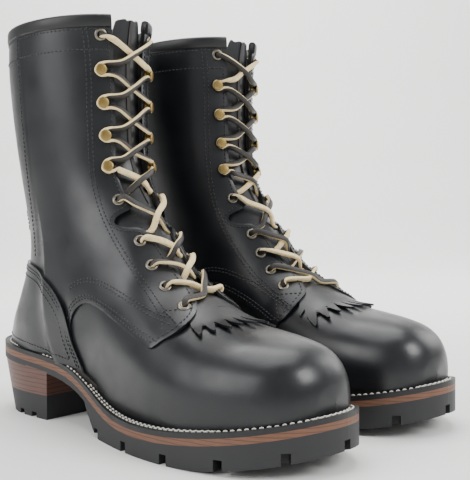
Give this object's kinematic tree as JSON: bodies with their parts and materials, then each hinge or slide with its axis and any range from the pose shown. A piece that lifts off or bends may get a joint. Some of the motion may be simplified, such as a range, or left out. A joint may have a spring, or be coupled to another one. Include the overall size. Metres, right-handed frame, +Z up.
{
  "type": "pair of fire boots",
  "caption": "Pair of tall black leather lace-up fire boots with speed hooks, fringed false tongue, stitched welt, lugged rubber sole and stacked heel.",
  "frame": {"origin": "on the floor, midway between the two boots and midway between heel and toe", "axes": "+Z up, toes towards -Y, the wearer's right boot at -X and the left boot at +X"},
  "size_m": [0.2468, 0.333, 0.302],
  "materials": {
    "upper_leather": "smooth full-grain, semi-gloss black",
    "binding_leather": "folded strip, semi-gloss black",
    "tongue_leather": "soft matt black",
    "lining_leather": "soft matt black",
    "stiffener": "hard pressed fibre",
    "eyelet_metal": "antique nickel",
    "hook_brass": "antique brass, domed",
    "lace_leather": "rawhide, black grain side and cream flesh side",
    "insole_leather": "vegetable-tanned board",
    "welt_leather": "edge-dressed black, light thread",
    "cork": "ground cork",
    "shank_steel": "plain steel",
    "sole_leather": "brown edge-dressed midsole",
    "stack_leather": "stacked brown leather, sanded",
    "sole_rubber": "matt black lugged rubber"
  },
  "bodies": {
    "right_boot": {"right_quarter_outer": "upper_leather", "right_quarter_inner": "upper_leather", "right_vamp": "upper_leather", "right_toe_stiffener": "stiffener", "right_counter_stiffener": "stiffener", "right_lining": "lining_leather", "right_counter_cover": "upper_leather", "right_backstay": "upper_leather", "right_tongue": "tongue_leather", "right_top_binding": "binding_leather", "right_pull_loop": "binding_leather", "right_kiltie": "tongue_leather", "right_eyelets": "eyelet_metal", "right_hooks": "hook_brass", "right_lace": "lace_leather", "right_lace_tail_outer": "lace_leather", "right_lace_tail_inner": "lace_leather", "right_insole": "insole_leather", "right_welt": "welt_leather", "right_filler": "cork", "right_shank": "shank_steel", "right_midsole": "sole_leather", "right_outsole": "sole_rubber", "right_heel_stack": "stack_leather", "right_heel_lift": "sole_rubber", "right_heel_nails": "shank_steel"},
    "left_boot": {"left_quarter_outer": "upper_leather", "left_quarter_inner": "upper_leather", "left_vamp": "upper_leather", "left_toe_stiffener": "stiffener", "left_counter_stiffener": "stiffener", "left_lining": "lining_leather", "left_counter_cover": "upper_leather", "left_backstay": "upper_leather", "left_tongue": "tongue_leather", "left_top_binding": "binding_leather", "left_pull_loop": "binding_leather", "left_kiltie": "tongue_leather", "left_eyelets": "eyelet_metal", "left_hooks": "hook_brass", "left_lace": "lace_leather", "left_lace_tail_outer": "lace_leather", "left_lace_tail_inner": "lace_leather", "left_insole": "insole_leather", "left_welt": "welt_leather", "left_filler": "cork", "left_shank": "shank_steel", "left_midsole": "sole_leather", "left_outsole": "sole_rubber", "left_heel_stack": "stack_leather", "left_heel_lift": "sole_rubber", "left_heel_nails": "shank_steel"},
    "right_fringe": {"right_kiltie_fringe": "tongue_leather"},
    "left_fringe": {"left_kiltie_fringe": "tongue_leather"}
  },
  "joints": [
    {"name": "left_boot_lift", "type": "slide", "parent": "right_boot", "child": "left_boot", "axis": [0, 0, 1], "range_m": [0, 0.35]},
    {"name": "right_fringe_fold", "type": "hinge", "parent": "right_boot", "child": "right_fringe", "pos_m": [-0.0615, -0.0619, 0.094], "axis": [-1, 0, 0], "range_deg": [0, 50]},
    {"name": "left_fringe_fold", "type": "hinge", "parent": "left_boot", "child": "left_fringe", "pos_m": [0.0615, -0.0619, 0.094], "axis": [-1, 0, 0], "range_deg": [0, 50]}
  ]
}
